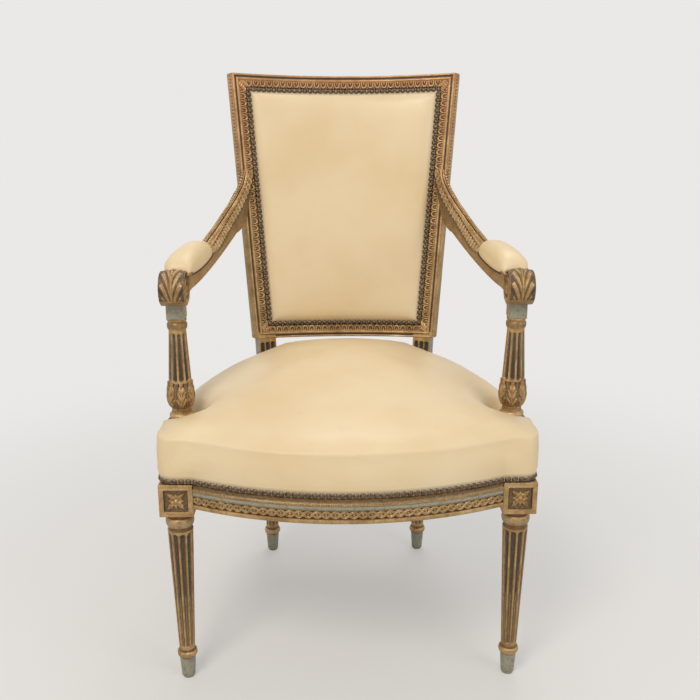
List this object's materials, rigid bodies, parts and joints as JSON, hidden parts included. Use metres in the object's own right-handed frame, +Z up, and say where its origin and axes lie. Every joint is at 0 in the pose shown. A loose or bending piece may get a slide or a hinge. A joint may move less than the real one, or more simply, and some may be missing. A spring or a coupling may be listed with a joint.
{
  "type": "open-arm upholstered chair",
  "caption": "Open-arm chair with a bowed seat, concave padded back, turned fluted legs, scrolled padded arms and nailed leather covers.",
  "frame": {"origin": "on the floor under the middle of the chair's own box", "axes": "+X to the right of somebody who faces the chair, -Y the front, +Z up"},
  "size_m": [0.606, 0.6716, 0.9934],
  "materials": {
    "gilded_wood": "carved, water-gilded and part painted cream, rubbed",
    "bare_wood": "bare beech, aged",
    "leather": "cream upholstery leather, soft sheen",
    "nail_brass": "antique domed nails",
    "screw_steel": "bright steel",
    "glide_steel": "nickel plated",
    "webbing": "woven jute",
    "hessian": "plain woven jute",
    "stuffing": "curled hair under wadding",
    "welt_cord": "dark gimp cord"
  },
  "bodies": {
    "root": {"arm_dowels": "bare_wood", "arm_left": "gilded_wood", "arm_pad_cover_left": "leather", "arm_pad_cover_right": "leather", "arm_pad_stuffing_left": "stuffing", "arm_pad_stuffing_right": "stuffing", "arm_pad_welt_left": "welt_cord", "arm_pad_welt_right": "welt_cord", "arm_right": "gilded_wood", "arm_support_left": "gilded_wood", "arm_support_right": "gilded_wood", "back_bottom_rail": "gilded_wood", "back_cover": "leather", "back_hessian": "hessian", "back_nails_bottom": "nail_brass", "back_nails_left": "nail_brass", "back_nails_right": "nail_brass", "back_nails_top": "nail_brass", "back_stuffing": "stuffing", "back_top_rail": "gilded_wood", "back_webbing_cross": "webbing", "back_webbing_upright": "webbing", "corner_block_screws": "screw_steel", "corner_blocks": "bare_wood", "front_leg_left": "gilded_wood", "front_leg_right": "gilded_wood", "front_rail": "gilded_wood", "leg_glides": "glide_steel", "outside_back_cover": "leather", "outside_back_nails": "nail_brass", "rear_leg_left": "gilded_wood", "rear_leg_right": "gilded_wood", "rear_rail": "bare_wood", "seat_cover": "leather", "seat_hessian": "hessian", "seat_nails_front": "nail_brass", "seat_nails_left": "nail_brass", "seat_nails_rear": "nail_brass", "seat_nails_right": "nail_brass", "seat_stuffing": "stuffing", "seat_webbing_cross": "webbing", "seat_webbing_long": "webbing", "side_rail_left": "gilded_wood", "side_rail_right": "gilded_wood"}
  },
  "joints": []
}
